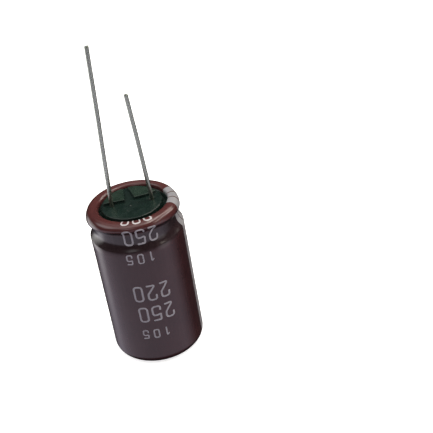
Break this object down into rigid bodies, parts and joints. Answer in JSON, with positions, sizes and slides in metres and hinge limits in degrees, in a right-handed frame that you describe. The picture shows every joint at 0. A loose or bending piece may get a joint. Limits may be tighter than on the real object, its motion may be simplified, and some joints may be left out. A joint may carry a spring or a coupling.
{
  "type": "electrolytic capacitor",
  "caption": "Radial electrolytic capacitor: sleeved aluminium can with a rolled neck and rim, rubber end stopper with stand-offs, and straight tinned leads of unequal length.",
  "frame": {"origin": "centre of the resting end, the closed end of the can", "axes": "+Z from the closed end to the leads, +X from the anode lead to the cathode lead (the side of the polarity stripe), the stand-off blocks on the +Y half"},
  "size_m": [0.0182, 0.0182, 0.0649],
  "materials": {
    "sleeve": "satin shrink tube, dark brown",
    "print": "pale grey ink on the sleeve",
    "can": "drawn, satin",
    "stopper": "moulded, glossy black",
    "lead": "tinned, satin",
    "tab": "pressed",
    "winding": "paper and foil roll, soaked",
    "tape": "film tape"
  },
  "bodies": {
    "root": {"sleeve": "sleeve", "can": "can", "sealing_stopper": "stopper", "anode_lead_wire": "lead", "cathode_lead_wire": "lead", "anode_tab": "tab", "cathode_tab": "tab", "wound_element": "winding", "element_tape": "tape"}
  },
  "joints": []
}
